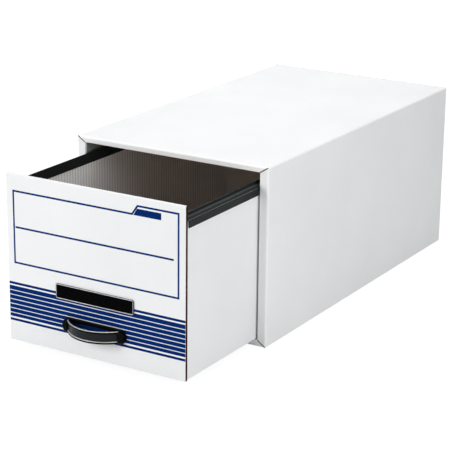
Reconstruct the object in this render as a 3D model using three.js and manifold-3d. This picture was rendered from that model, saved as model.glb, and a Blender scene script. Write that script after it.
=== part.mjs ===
// A file storage box: a shell of folded corrugated board, open at the front, and a full-depth drawer of board
// with a steel rail along each of its side walls.
// Millimetres, +Z up. The origin is the centre of the shell's underside, and the drawer opens towards -Y.
// The shell's pieces are drawn with y = 0 at the mouth, the drawer's with y = 0 at the face of its front board.
import * as THREE from "three";
import { mergeVertices } from "three/addons/utils/BufferGeometryUtils.js";
import Module from "manifold-3d";

const wasm = await Module();
wasm.setup();

// Fits
const seat = 0.3; // clearance between pieces that rest on or touch each other
const closeClear = 1; // left between the closed drawer's back and the shell's back flaps

// Shell
const shellWidth = 355.6;
const shellHeight = 292.1;
const shellDepth = 647.7;
const shellBoard = 4; // thickness of the shell's board
const foldRadius = 3; // outer radius where the shell's board folds
const sideHem = 15.5; // width of the mouth's side hems, seen from the front
const topHem = 10; // height of the mouth's top hem
const bottomHem = 11; // height of the mouth's bottom hem, and of the floor that the drawer slides on
const sideReturn = 38; // how far the side hems run back inside
const topReturn = 45; // how far the top hem runs back inside, which is what stops the drawer
const floorEndGap = 2; // left between the second floor and the back flaps
const sheetEdgeGap = 1; // left between an inner sheet's edge and the side wall
const mitreSeam = 0.5; // width of the cut seams at the mouth's corners
const backSeam = 2; // gap between the two outer back flaps
const backFlap = 120; // length of the inner back flaps

// Steel plates in the mouth's side hems
const plateGauge = 1;
const plateDepth = 42;
const plateCorner = 9;
const plateBend = 2;

// Drawer
const pulledOut = 205; // how far the drawer stands out of the mouth as drawn
const closedSetback = 0.5; // how far the closed drawer's face lies behind the shell's front edge
const sideRun = 1.3; // running clearance of the front board at each side of the mouth
const topRun = 1.1;
const bottomRun = 1.3;
const frontBoard = 5; // thickness of the printed front board
const frontFold = 2; // radius of the front board's folded top edge
const trayInset = 2; // how far the tray's sides stand in from the front board's edges
const trayBoard = 4; // thickness of the tray's floor and front wall
const trayFold = 2.5; // outer radius where the tray's board folds
const ply = 2.3; // thickness of each ply of a rolled-over wall
const plyGap = 0.4; // gap between the two plies
const wallDrop = 20.9; // how far the tray's walls end below the mouth's top edge
const lockTab = 40; // length of the tabs that lock the side walls' inner ply into the floor
const lockTabs = 4; // number of lock tabs along each side
const lockTabPlay = 0.8; // clearance of a lock tab in its slot
const lockTabDrop = 3.2; // how deep a lock tab reaches into the floor
const backCatch = 3.7; // how far the back wall reaches up past the mouth's top edge, to meet the top hem's return
const backCorner = 12; // radius of the back wall's upper corners

// Hanging rails
const railGauge = 1;
const railCap = 1.3; // height of the cap's upper face above the tray's walls
const railBlade = 4.5; // height of the rail's upright inner edge above the cap
const railInner = 12; // height of the inner flange below the cap
const railUpper = 4.5; // height of the outer flange's upper band
const railLower = 12; // height of the outer flange's lower band
const railStep = 0.9; // how far the lower band stands out from the upper one
const railNotch = 3; // how far the lower band starts behind the front end of the cap

// Pull handle
const handleLength = 120;
const handleHeight = 24;
const handleCentre = 59.5; // height above the shell's underside
const handleBase = 3; // thickness of the base frame
const handleBevel = 1;
const handleWindow = 84; // length of the opening in the base frame
const handleBar = 6; // height of the base frame's upper and lower bars
const bow = 28; // how far the strap's outer face stands out at its middle
const bowRadius = 59; // outer radius of the strap
const strapGauge = 3;
const strapHeight = 22;
const ribHeight = 2.4;
const ribRise = 1.4;
const bossRadius = 9.5;
const bossRise = 2.2;
const postSpacing = 98;
const postRadius = 1.6;
const postTip = 0.5;
const postReach = 2.3; // how far a post stands out behind its clip
const retainerLength = 122;
const retainerHeight = 22;
const retainerGauge = 2;
const retainerCorner = 5;
const clipRadius = 8;
const clipGauge = 0.8;
const clipTeeth = 6;
const clipSlotReach = 1.9; // how far the slots between a clip's teeth reach out from its hole

// Plaque
const plaqueWidth = 142;
const plaqueHeight = 24;
const plaqueCentre = 109.8; // height above the shell's underside
const plaqueGauge = 1.2;
const plaqueCorner = 3;
const plaqueRim = 1.3; // width of the raised rim
const plaqueRimRise = 0.6;

// Faceting
const arcSteps = 5; // facets in a quarter-circle fold
const roundSteps = 28; // facets in a full circle
const strapSteps = 28; // facets along the strap
const past = 1; // how far a cutting solid runs past what it cuts

// Sizes worked out from the ones above
const shellHalf = shellWidth / 2;
const mouthHalf = shellHalf - sideHem;
const mouthTop = shellHeight - topHem;
const shellInnerHalf = shellHalf - shellBoard;
const backInner = shellDepth - shellBoard; // inner face of the outer back flaps
const innerFlapBack = backInner - seat;
const innerFlapFront = innerFlapBack - shellBoard;
const frontHalf = mouthHalf - sideRun;
const frontBottom = bottomHem + bottomRun;
const frontTop = mouthTop - topRun;
const trayHalf = frontHalf - trayInset;
const trayBottom = bottomHem + seat;
const trayFloorTop = trayBottom + trayBoard;
const trayFront = frontBoard + seat;
const trayFrontInner = trayFront + trayBoard;
const trayWall = 2 * ply + plyGap;
const wallTop = mouthTop - wallDrop;
const trayInnerHalf = trayHalf - trayWall;
const drawerLength = innerFlapFront - closeClear - closedSetback;
const backWallFront = drawerLength - trayWall;
const railFront = trayFront + seat;
const railInnerFront = trayFrontInner + seat;
const railBack = backWallFront - seat;
const capTop = wallTop + railCap;
const postHole = postRadius + seat;
const retainerFront = trayFrontInner + seat;
const clipFront = retainerFront + retainerGauge + seat;
const postEnd = clipFront + clipGauge + postReach;
const foldedRadius = foldRadius / 2; // outer radius of a hem's inner edge

const whiteBoard = () => new THREE.MeshStandardMaterial({ color: 0xf2f3f3, roughness: 0.72, metalness: 0 });
const darkSteel = () => new THREE.MeshStandardMaterial({ color: 0x3a3e3f, roughness: 0.42, metalness: 0.6 });
const blackPlastic = () => new THREE.MeshStandardMaterial({ color: 0x151617, roughness: 0.3, metalness: 0 });
const brightSteel = () => new THREE.MeshStandardMaterial({ color: 0xa9adaf, roughness: 0.35, metalness: 1 });

// Frames in which an outline is drawn: (y, z) drawn along X, and (x, z) drawn along -Y
const alongX = new THREE.Matrix4().makeBasis(
  new THREE.Vector3(0, 1, 0),
  new THREE.Vector3(0, 0, 1),
  new THREE.Vector3(1, 0, 0),
);
const alongY = new THREE.Matrix4().makeBasis(
  new THREE.Vector3(1, 0, 0),
  new THREE.Vector3(0, 0, 1),
  new THREE.Vector3(0, -1, 0),
);

// The solid that a closed geometry encloses
function solid(geometry) {
  geometry.deleteAttribute("normal");
  geometry.deleteAttribute("uv");
  const merged = mergeVertices(geometry);
  const vertProperties = Float32Array.from(merged.attributes.position.array);
  const triVerts = Uint32Array.from(merged.index.array);
  return new wasm.Manifold(new wasm.Mesh({ numProp: 3, vertProperties, triVerts }));
}

function join(solids) {
  return solids.reduce((whole, piece) => whole.add(piece));
}

function cut(whole, cutters) {
  return cutters.reduce((left, cutter) => left.subtract(cutter), whole);
}

// A named mesh of a finished solid
function part(name, whole, material) {
  const { vertProperties, triVerts } = whole.getMesh();
  const geometry = new THREE.BufferGeometry();
  geometry.setAttribute("position", new THREE.BufferAttribute(vertProperties, 3));
  geometry.setIndex(new THREE.BufferAttribute(triVerts, 1));
  geometry.computeVertexNormals();
  const mesh = new THREE.Mesh(geometry, material);
  mesh.name = name;
  return mesh;
}

// A closed outline through corners of the form [a, b, radius], each rounded by a true arc
function outline(corners) {
  const spots = corners.map(([a, b]) => new THREE.Vector2(a, b));
  const points = [];
  corners.forEach(([, , radius = 0], i) => {
    const here = spots[i];
    if (radius === 0) {
      points.push(here);
      return;
    }
    const back = spots.at(i - 1).clone().sub(here).normalize();
    const on = spots[(i + 1) % spots.length].clone().sub(here).normalize();
    const half = Math.acos(THREE.MathUtils.clamp(back.dot(on), -1, 1)) / 2;
    const centre = back.clone().add(on).normalize().multiplyScalar(radius / Math.sin(half)).add(here);
    const start = back.clone().multiplyScalar(radius / Math.tan(half)).add(here).sub(centre).angle();
    const end = on.clone().multiplyScalar(radius / Math.tan(half)).add(here).sub(centre).angle();
    const turn = Math.atan2(Math.sin(end - start), Math.cos(end - start));
    for (let step = 0; step <= arcSteps; step += 1) {
      const angle = start + (turn * step) / arcSteps;
      points.push(new THREE.Vector2(Math.cos(angle), Math.sin(angle)).multiplyScalar(radius).add(centre));
    }
  });
  return new THREE.Shape(points);
}

function rectangle(a0, a1, b0, b1, radius = 0) {
  return outline([[a0, b0, radius], [a1, b0, radius], [a1, b1, radius], [a0, b1, radius]]);
}

function circle(a, b, radius) {
  return new THREE.Path().absarc(a, b, radius, 0, 2 * Math.PI);
}

// An outline drawn out along an axis, from one place on it to another
function prism(shape, axis, from, to) {
  const settings = { depth: to - from, bevelEnabled: false, curveSegments: roundSteps };
  const geometry = new THREE.ExtrudeGeometry(shape, settings);
  if (axis === "x") geometry.applyMatrix4(alongX).translate(from, 0, 0);
  if (axis === "y") geometry.applyMatrix4(alongY).translate(0, to, 0);
  if (axis === "z") geometry.translate(0, 0, from);
  return solid(geometry);
}

// A prism along X from one distance outwards to another, on the side given by its sign
function sidePrism(shape, side, inner, outer) {
  return prism(shape, "x", Math.min(side * inner, side * outer), Math.max(side * inner, side * outer));
}

function mirrored(corners, side) {
  return outline(corners.map(([a, b, radius]) => [side * a, b, radius]));
}

// One side of the shell in plan: the outer back flap, the wall, the hem's face and its return
function shellSide(side) {
  const returnInner = mouthHalf + plateGauge + seat;
  const returnOuter = returnInner + shellBoard;
  const corners = [
    [backSeam / 2, shellDepth],
    [shellHalf, shellDepth, foldRadius],
    [shellHalf, 0, foldRadius],
    [mouthHalf, 0, foldedRadius],
    [mouthHalf, shellBoard],
    [returnInner, shellBoard],
    [returnInner, sideReturn],
    [returnOuter, sideReturn],
    [returnOuter, shellBoard],
    [shellInnerHalf, shellBoard],
    [shellInnerHalf, backInner],
    [backSeam / 2, backInner],
  ];
  return prism(mirrored(corners, side), "z", 0, shellHeight);
}

// The shell's top from the side: the wall, the hem's face and its return, and the inner back flap
function shellTop() {
  const under = shellHeight - shellBoard;
  const returnTop = mouthTop + shellBoard;
  const corners = [
    [innerFlapBack, shellHeight, foldRadius],
    [0, shellHeight, foldRadius],
    [0, mouthTop, foldedRadius],
    [topReturn, mouthTop],
    [topReturn, returnTop],
    [shellBoard, returnTop],
    [shellBoard, under],
    [innerFlapBack, under],
  ];
  const flap = rectangle(innerFlapFront, innerFlapBack, shellHeight - backFlap, shellHeight - shellBoard / 2);
  const flapHalf = shellInnerHalf - sheetEdgeGap;
  return prism(outline(corners), "x", -shellHalf, shellHalf).add(prism(flap, "x", -flapHalf, flapHalf));
}

// The shell's floor from the side: the outer floor, the hem's face, the second floor and the inner back flap
function shellFloor() {
  const secondUnder = bottomHem - shellBoard;
  const corners = [
    [innerFlapBack, 0, foldRadius],
    [0, 0, foldRadius],
    [0, bottomHem, foldedRadius],
    [sideReturn, bottomHem],
    [sideReturn, secondUnder],
    [shellBoard, secondUnder],
    [shellBoard, shellBoard],
    [innerFlapBack, shellBoard],
  ];
  const sheetHalf = shellInnerHalf - sheetEdgeGap;
  const second = rectangle(shellBoard, innerFlapFront - floorEndGap, secondUnder, bottomHem);
  const flap = rectangle(innerFlapFront, innerFlapBack, shellBoard / 2, backFlap);
  return join([
    prism(outline(corners), "x", -shellHalf, shellHalf),
    prism(second, "x", -sheetHalf, sheetHalf),
    prism(flap, "x", -sheetHalf, sheetHalf),
  ]);
}

// The cut seam across one corner of the mouth's hem, from the shell's corner to the mouth's
function mitre(side, shellEdge, mouthEdge) {
  const outer = new THREE.Vector2(side * shellHalf, shellEdge);
  const inner = new THREE.Vector2(side * mouthHalf, mouthEdge);
  const along = inner.clone().sub(outer).normalize();
  const across = new THREE.Vector2(-along.y, along.x).multiplyScalar(mitreSeam / 2);
  const start = outer.addScaledVector(along, foldRadius);
  const end = inner.addScaledVector(along, past);
  const corners = [
    start.clone().add(across),
    end.clone().add(across),
    end.clone().sub(across),
    start.clone().sub(across),
  ];
  return prism(new THREE.Shape(corners), "y", -past, shellBoard);
}

function shellSleeve() {
  const whole = join([shellSide(-1), shellSide(1), shellTop(), shellFloor()]);
  const longEdges = prism(rectangle(-shellHalf, shellHalf, 0, shellHeight, foldRadius), "y", -past, shellDepth + past);
  const crossEdges = prism(rectangle(0, shellDepth, 0, shellHeight, foldRadius), "x", -shellWidth, shellWidth);
  const plan = rectangle(-shellHalf, shellHalf, 0, shellDepth, foldRadius);
  const uprightEdges = prism(plan, "z", -past, shellHeight + past);
  const seams = [-1, 1].flatMap((side) => [mitre(side, shellHeight, mouthTop), mitre(side, 0, bottomHem)]);
  return cut(whole.intersect(longEdges).intersect(crossEdges).intersect(uprightEdges), seams);
}

// A formed plate: its web lines the mouth, and its rear edge is bent outwards to the shell's wall
function steelPlate(side) {
  const front = shellBoard + seat;
  const back = front + plateDepth;
  const low = bottomHem + seat;
  const high = mouthTop - seat;
  const flangeEdge = shellInnerHalf - seat;
  const bent = [
    [mouthHalf, front],
    [mouthHalf, back, plateBend],
    [flangeEdge, back],
    [flangeEdge, back - plateGauge],
    [mouthHalf + plateGauge, back - plateGauge, plateBend - plateGauge],
    [mouthHalf + plateGauge, front],
  ];
  const blank = outline([
    [front, low],
    [back, low, plateCorner],
    [back, high, plateCorner],
    [front, high],
  ]);
  const bar = prism(mirrored(bent, side), "z", low, high);
  return bar.intersect(sidePrism(blank, side, mouthHalf - past, flangeEdge + past));
}

// The tray's floor and its rolled-over side walls, seen from the front
function trayTrough() {
  const plyOuter = trayHalf - ply;
  const plyInner = plyOuter - plyGap;
  const right = [
    [trayHalf, trayBottom, trayFold],
    [trayHalf, wallTop, ply],
    [trayInnerHalf, wallTop, ply - plyGap],
    [trayInnerHalf, trayFloorTop + seat],
    [plyInner, trayFloorTop + seat],
    [plyInner, wallTop - ply],
    [plyOuter, wallTop - ply],
    [plyOuter, trayFloorTop],
  ];
  const left = right.map(([a, b, radius]) => [-a, b, radius]).reverse();
  return prism(outline([...right, ...left]), "y", trayFront, drawerLength);
}

// Calls make(y) for the middle of each lock tab along the tray
function eachLockTab(make) {
  const pitch = (backWallFront - trayFrontInner) / lockTabs;
  return Array.from({ length: lockTabs }, (_, i) => make(trayFrontInner + pitch * (i + 0.5)));
}

function lockTabSlot(side, y) {
  const reach = (lockTab + lockTabPlay) / 2;
  const slot = rectangle(y - reach, y + reach, trayBottom - past, trayFloorTop + seat / 2);
  return sidePrism(slot, side, trayInnerHalf - lockTabPlay / 2, trayInnerHalf + ply + plyGap);
}

function lockTabSolid(side, y) {
  const tab = rectangle(y - lockTab / 2, y + lockTab / 2, trayFloorTop - lockTabDrop, trayFloorTop + past);
  return sidePrism(tab, side, trayInnerHalf, trayInnerHalf + ply);
}

function postHoles() {
  return [-1, 1].map((side) => circle((side * postSpacing) / 2, handleCentre, postHole));
}

function drawerTray() {
  const frontWall = rectangle(-trayHalf, trayHalf, trayBottom, wallTop, trayFold);
  frontWall.holes.push(...postHoles());
  const backTop = mouthTop + backCatch;
  const backWall = outline([
    [-trayHalf, trayBottom, trayFold],
    [trayHalf, trayBottom, trayFold],
    [trayHalf, backTop, backCorner],
    [-trayHalf, backTop, backCorner],
  ]);
  const sides = [-1, 1];
  const slots = sides.flatMap((side) => eachLockTab((y) => lockTabSlot(side, y)));
  const tabs = sides.flatMap((side) => eachLockTab((y) => lockTabSolid(side, y)));
  const folded = join([
    cut(trayTrough(), slots),
    prism(frontWall, "y", trayFront, trayFrontInner),
    prism(backWall, "y", backWallFront, drawerLength),
    ...tabs,
  ]);
  const plan = rectangle(-trayHalf, trayHalf, trayFront, drawerLength, trayFold);
  return folded.intersect(prism(plan, "z", 0, shellHeight));
}

// The front board, folded along its top edge and cut along the others
function drawerFront() {
  const face = rectangle(-frontHalf, frontHalf, frontBottom, frontTop);
  face.holes.push(...postHoles());
  const section = outline([
    [0, frontBottom],
    [frontBoard, frontBottom],
    [frontBoard, frontTop, frontFold],
    [0, frontTop, frontFold],
  ]);
  return prism(face, "y", 0, frontBoard).intersect(prism(section, "x", -frontHalf, frontHalf));
}

// A rail that caps a side wall: inner flange with its upright blade, cap, and stepped outer flange
function hangingRail(side) {
  const bladeOuter = trayInnerHalf - seat;
  const bladeInner = bladeOuter - railGauge;
  const upperInner = trayHalf + seat;
  const upperOuter = upperInner + railGauge;
  const stepTop = capTop - railUpper;
  const capUnder = capTop - railGauge;
  const lowerEdge = stepTop - railLower;
  const corners = [
    [bladeInner, capUnder - railInner],
    [bladeInner, capTop + railBlade],
    [bladeOuter, capTop + railBlade],
    [bladeOuter, capTop],
    [upperOuter, capTop, railGauge],
    [upperOuter, stepTop],
    [upperOuter + railStep, stepTop, railGauge / 2],
    [upperOuter + railStep, lowerEdge],
    [upperInner + railStep, lowerEdge],
    [upperInner + railStep, stepTop - railGauge],
    [upperInner, stepTop - railGauge],
    [upperInner, capUnder],
    [bladeOuter, capUnder],
    [bladeOuter, capUnder - railInner],
  ];
  const rail = prism(mirrored(corners, side), "y", railFront, railBack);
  const innerRelief = rectangle(railFront - past, railInnerFront, lowerEdge - past, capUnder);
  const outerNotch = rectangle(railFront - past, railFront + railNotch, lowerEdge - past, stepTop - railGauge);
  return cut(rail, [
    sidePrism(innerRelief, side, bladeInner - past, upperInner - seat / 2),
    sidePrism(outerNotch, side, trayHalf, upperOuter + railStep + past),
  ]);
}

// The strap in plan, between two radii, from one side of the base frame to the other
function strapBand(outerRadius, innerRadius) {
  const centre = bowRadius - bow;
  const sink = centre + handleBase / 2 + seat; // both arcs end inside the base frame
  const outerSweep = Math.acos(sink / outerRadius);
  const innerSweep = Math.acos(sink / innerRadius);
  const points = [];
  for (let step = 0; step <= strapSteps; step += 1) {
    const angle = outerSweep * (2 * (step / strapSteps) - 1);
    points.push(new THREE.Vector2(outerRadius * Math.sin(angle), centre - outerRadius * Math.cos(angle)));
  }
  for (let step = 0; step <= strapSteps; step += 1) {
    const angle = innerSweep * (1 - 2 * (step / strapSteps));
    points.push(new THREE.Vector2(innerRadius * Math.sin(angle), centre - innerRadius * Math.cos(angle)));
  }
  return new THREE.Shape(points);
}

function handleFrame() {
  const halfLength = handleLength / 2;
  const low = handleCentre - handleHeight / 2;
  const high = handleCentre + handleHeight / 2;
  const end = handleHeight / 2 - seat; // the ends are all but half round
  const shape = rectangle(-halfLength, halfLength, low, high, end);
  const window = rectangle(-handleWindow / 2, handleWindow / 2, low + handleBar, high - handleBar, handleBar / 2);
  shape.holes.push(new THREE.Path(window.getPoints()));
  const geometry = new THREE.ExtrudeGeometry(shape, {
    depth: handleBase - 2 * handleBevel,
    bevelEnabled: true,
    bevelThickness: handleBevel,
    bevelSize: handleBevel,
    bevelOffset: -handleBevel,
    bevelSegments: 2,
  });
  return solid(geometry.applyMatrix4(alongY).translate(0, -seat - handleBevel, 0));
}

// A domed boss on the base frame with a plain round post behind it
function handleBoss(side) {
  const face = -seat - handleBase;
  const profile = [new THREE.Vector2(0, face - bossRise)];
  for (let step = 1; step <= arcSteps; step += 1) {
    const angle = (Math.PI / 2) * (step / arcSteps);
    profile.push(new THREE.Vector2(bossRadius * Math.sin(angle), face - bossRise * Math.cos(angle)));
  }
  profile.push(new THREE.Vector2(bossRadius, face + handleBase / 2));
  profile.push(new THREE.Vector2(postRadius, face + handleBase / 2));
  profile.push(new THREE.Vector2(postRadius, postEnd - postTip));
  profile.push(new THREE.Vector2(postRadius - postTip, postEnd));
  profile.push(new THREE.Vector2(0, postEnd));
  const lathe = new THREE.LatheGeometry(profile, roundSteps);
  return solid(lathe.translate((side * postSpacing) / 2, 0, handleCentre));
}

function pullHandle() {
  const low = handleCentre - strapHeight / 2;
  const high = handleCentre + strapHeight / 2;
  const web = strapBand(bowRadius, bowRadius - strapGauge);
  const rib = strapBand(bowRadius + ribRise, bowRadius - strapGauge);
  return join([
    handleFrame(),
    handleBoss(-1),
    handleBoss(1),
    prism(web, "z", low + ribHeight / 2, high - ribHeight / 2),
    prism(rib, "z", low, low + ribHeight),
    prism(rib, "z", high - ribHeight, high),
  ]);
}

function handleRetainer() {
  const low = handleCentre - retainerHeight / 2;
  const high = handleCentre + retainerHeight / 2;
  const plate = rectangle(-retainerLength / 2, retainerLength / 2, low, high, retainerCorner);
  plate.holes.push(...postHoles());
  return prism(plate, "y", retainerFront, retainerFront + retainerGauge);
}

// A push-on clip: a thin disc whose hole is slotted into teeth
function postClip(side) {
  const x = (side * postSpacing) / 2;
  const disc = new THREE.Shape().absarc(x, handleCentre, clipRadius, 0, 2 * Math.PI);
  const sector = (2 * Math.PI) / clipTeeth;
  const slotShare = 0.25;
  const firstTooth = 0.2; // part of a sector by which the teeth are turned
  const edge = [];
  for (let tooth = 0; tooth < clipTeeth; tooth += 1) {
    const start = (tooth + firstTooth) * sector;
    const stops = [
      [start, postHole],
      [start + (sector * (1 - slotShare)) / 2, postHole],
      [start + sector * (1 - slotShare), postHole],
      [start + sector * (1 - slotShare), postHole + clipSlotReach],
      [start + sector, postHole + clipSlotReach],
    ];
    stops.forEach(([angle, radius]) => {
      edge.push(new THREE.Vector2(x + radius * Math.cos(angle), handleCentre + radius * Math.sin(angle)));
    });
  }
  disc.holes.push(new THREE.Path(edge));
  return prism(disc, "y", clipFront, clipFront + clipGauge);
}

function frontPlaque() {
  const half = plaqueWidth / 2;
  const low = plaqueCentre - plaqueHeight / 2;
  const high = plaqueCentre + plaqueHeight / 2;
  const face = -seat - plaqueGauge;
  const plate = rectangle(-half, half, low, high, plaqueCorner);
  const rim = rectangle(-half, half, low, high, plaqueCorner);
  const inner = rectangle(
    -half + plaqueRim,
    half - plaqueRim,
    low + plaqueRim,
    high - plaqueRim,
    plaqueCorner - plaqueRim,
  );
  rim.holes.push(new THREE.Path(inner.getPoints()));
  return prism(plate, "y", face, -seat).add(prism(rim, "y", face - plaqueRimRise, face + plaqueGauge / 2));
}

const shell = new THREE.Group();
shell.add(part("shell_sleeve", shellSleeve(), whiteBoard()));
shell.add(part("left_steel_plate", steelPlate(-1), darkSteel()));
shell.add(part("right_steel_plate", steelPlate(1), darkSteel()));

const drawer = new THREE.Group();
drawer.position.y = -pulledOut;
drawer.add(part("drawer_tray", drawerTray(), whiteBoard()));
drawer.add(part("drawer_front", drawerFront(), whiteBoard()));
drawer.add(part("left_hanging_rail", hangingRail(-1), darkSteel()));
drawer.add(part("right_hanging_rail", hangingRail(1), darkSteel()));
drawer.add(part("front_plaque", frontPlaque(), blackPlastic()));
drawer.add(part("pull_handle", pullHandle(), blackPlastic()));
drawer.add(part("handle_retainer", handleRetainer(), blackPlastic()));
drawer.add(part("left_post_clip", postClip(-1), brightSteel()));
drawer.add(part("right_post_clip", postClip(1), brightSteel()));

const fileBox = new THREE.Group();
fileBox.add(shell, drawer);
fileBox.children.forEach((group) => {
  group.position.y -= shellDepth / 2;
});

export default fileBox;
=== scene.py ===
import math

import bmesh
import bpy
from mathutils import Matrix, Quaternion, Vector
from mathutils.geometry import tessellate_polygon


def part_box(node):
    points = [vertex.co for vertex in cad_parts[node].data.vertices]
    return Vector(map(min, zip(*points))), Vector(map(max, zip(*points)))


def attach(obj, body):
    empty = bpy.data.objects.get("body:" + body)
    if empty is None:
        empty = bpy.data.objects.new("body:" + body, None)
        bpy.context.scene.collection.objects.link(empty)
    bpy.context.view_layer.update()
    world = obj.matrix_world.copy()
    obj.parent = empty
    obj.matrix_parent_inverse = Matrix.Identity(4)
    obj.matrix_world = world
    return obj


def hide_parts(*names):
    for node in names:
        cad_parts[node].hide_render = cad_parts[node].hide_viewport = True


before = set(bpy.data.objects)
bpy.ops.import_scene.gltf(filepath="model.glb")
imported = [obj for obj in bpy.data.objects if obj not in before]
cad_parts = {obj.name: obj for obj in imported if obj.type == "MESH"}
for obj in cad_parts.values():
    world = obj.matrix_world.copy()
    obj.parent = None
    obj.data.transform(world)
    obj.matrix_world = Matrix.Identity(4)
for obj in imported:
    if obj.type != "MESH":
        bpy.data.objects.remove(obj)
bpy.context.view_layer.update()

MM = 0.001
shell_low, shell_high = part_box("shell_sleeve")
front_low, front_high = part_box("drawer_front")
tray_low, tray_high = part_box("drawer_tray")
plaque_low, plaque_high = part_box("front_plaque")
handle_low, handle_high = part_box("pull_handle")
rail_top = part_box("right_hanging_rail")[1].z

# Shell, seen from the mouth
SIDE_HEM = 15.5 * MM
TOP_HEM = 10 * MM
BOTTOM_HEM = 11 * MM
SHELL_BOARD = 4 * MM
FLUTE_PITCH = 7.3 * MM
SHELL_FOLD = 3 * MM
SIDE_RETURN = 38 * MM
TOP_RETURN = 45 * MM
BACK_SEAM = 2 * MM

# Drawer. The top edges of the tray's end walls lie within WALL_TOP_ZONE of the rails' top.
TRAY_BOARD = 4 * MM
TRAY_WALL = 5 * MM
WALL_TOP_ZONE = 7.8 * MM

# Hanging rails: how high the blade stands above the cap
RAIL_BLADE = 4.5 * MM

# Front board: thin board doubled at a fold along the top, with its flutes upright
FRONT_FOLD = 2 * MM
LINER = 0.4 * MM
FLUTE_SHEET = 0.3 * MM
FRONT_PITCH = 6.3 * MM
FLUTE_INSET = 0.3 * MM
FLUTE_STEPS = 12
FOLD_STEPS = 5
INK = 0.05 * MM

# Widths of the softened edges
BOARD_EDGE = 0.3 * MM
STEEL_EDGE = 0.25 * MM
CLIP_EDGE = 0.1 * MM
RETAINER_EDGE = 0.4 * MM
LINER_EDGE = 0.12 * MM

# Camera, fitted to the corners of the box in the photograph
CAMERA_SPOT = Vector((1.40043, -2.4692, 0.98438))
CAMERA_AZIMUTH = math.radians(31.1899)
CAMERA_ELEVATION = math.radians(17.6048)
CAMERA_ROLL = math.radians(0.6)
CAMERA_LENS = 136.11
CAMERA_REACH = 60
CAMERA_SENSOR = 36.0


def srgb(red, green, blue):
    """A linear colour from 8-bit display values, by the sRGB curve."""

    def linear(value):
        share = value / 255
        return share / 12.92 if share <= 0.04045 else ((share + 0.055) / 1.055) ** 2.4

    return (linear(red), linear(green), linear(blue), 1.0)


def tint(base, share=1.0, lift=0):
    """A linear colour from a display colour, scaled by a share and lifted by some levels of 255."""
    return srgb(*(min(255, value * share + lift) for value in base))


# Where most values of a noise lie
NOISE_LOW, NOISE_HIGH = 0.3, 0.7

# Sockets of a mix node for colours
MIX_SHARE, MIX_FIRST, MIX_SECOND, MIX_RESULT = 0, 6, 7, 2


class Paint:
    """A material's node tree, its shader and its object coordinates."""

    def __init__(self, name, specular, metallic=0.0):
        self.material = bpy.data.materials.new(name)
        self.material.use_nodes = True
        self.tree = self.material.node_tree
        self.shader = self.tree.nodes["Principled BSDF"]
        self.shader.inputs["Metallic"].default_value = metallic
        self.shader.inputs["Specular IOR Level"].default_value = specular
        self.spot = self.node("ShaderNodeTexCoord").outputs["Object"]
        self.normal = None

    def node(self, kind, settings=None, inputs=None):
        made = self.tree.nodes.new(kind)
        for key, value in (settings or {}).items():
            setattr(made, key, value)
        for key, value in (inputs or {}).items():
            self.feed(made.inputs[key], value)
        return made

    def feed(self, socket, value):
        """Links a socket to another, or sets it to a constant."""
        if isinstance(value, bpy.types.NodeSocket):
            self.tree.links.new(value, socket)
        else:
            socket.default_value = value

    def maths(self, operation, first, second=0.0, third=0.0):
        inputs = {0: first, 1: second, 2: third}
        return self.node("ShaderNodeMath", {"operation": operation}, inputs).outputs[0]

    def times(self, first, second):
        return self.maths("MULTIPLY", first, second)

    def noise(self, scale, detail=3.0, roughness=0.5, stretch=(1, 1, 1), place=(0, 0, 0)):
        """Noise with about scale features to a metre."""
        inputs = {"Vector": self.spot, "Scale": stretch, "Location": place}
        spot = self.node("ShaderNodeMapping", None, inputs).outputs[0]
        inputs = {"Vector": spot, "Scale": scale, "Detail": detail, "Roughness": roughness}
        return self.node("ShaderNodeTexNoise", None, inputs).outputs["Fac"]

    def spread(self, value, low, high, to_low=0.0, to_high=1.0):
        """A value's range from low to high, stretched from to_low to to_high and clamped there."""
        inputs = {"Value": value, "From Min": low, "From Max": high}
        inputs.update({"To Min": to_low, "To Max": to_high})
        return self.node("ShaderNodeMapRange", None, inputs).outputs["Result"]

    def even(self, noise, to_low=0.0, to_high=1.0):
        """A noise's usual range, stretched from to_low to to_high."""
        return self.spread(noise, NOISE_LOW, NOISE_HIGH, to_low, to_high)

    def mix(self, share, first, second):
        """The first colour, with a share of the second."""
        inputs = {MIX_SHARE: share, MIX_FIRST: first, MIX_SECOND: second}
        return self.node("ShaderNodeMix", {"data_type": "RGBA"}, inputs).outputs[MIX_RESULT]

    def axis(self, name):
        return self.node("ShaderNodeSeparateXYZ", None, {0: self.spot}).outputs[name]

    def colour(self, value):
        self.feed(self.shader.inputs["Base Color"], value)

    def roughness(self, value):
        self.feed(self.shader.inputs["Roughness"], value)

    def bump(self, height, distance, strength):
        """Bumps of a height from 0 to 1 times a distance, on top of those made before."""
        inputs = {"Height": height, "Distance": distance, "Strength": strength}
        made = self.node("ShaderNodeBump", None, inputs)
        if self.normal is not None:
            self.feed(made.inputs["Normal"], self.normal)
        self.normal = made.outputs["Normal"]
        self.feed(self.shader.inputs["Normal"], self.normal)


# Display colours
WHITE = (238, 239, 240)
# Folds are whiter than flat board: a painted highlight along each fold
FOLD_HIGHLIGHT_WHITE = (247, 248, 248)
KRAFT = (184, 146, 106)
WORN_KRAFT = (176, 140, 102)
BARE_BOARD = (206, 212, 222)
BARE_STEEL = (122, 126, 128)

# How much darker than white board its mottling and faint painted shade along the flutes, its specks
# and the painted shade in a single ply's flute troughs are
BOARD_MOTTLE_AND_FLUTE_SHADE = 5
SPECK_SHADE = 26
PAINTED_TROUGH_SHADE = 60

# How far the washboard rises on board, how much more on a single ply, and the ink's fading over it
WASHBOARD_DEPTH = 0.04 * MM
PLY_DEPTH = 0.2 * MM
STREAK_FADE = 0.05


def ripple(paint, axis, pitch):
    """A wave from 0 to 1 along an axis, with crests a pitch apart."""
    turns = paint.times(paint.axis(axis), 2 * math.pi / pitch)
    return paint.maths("MULTIPLY_ADD", paint.maths("SINE", turns), 0.5, 0.5)


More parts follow.
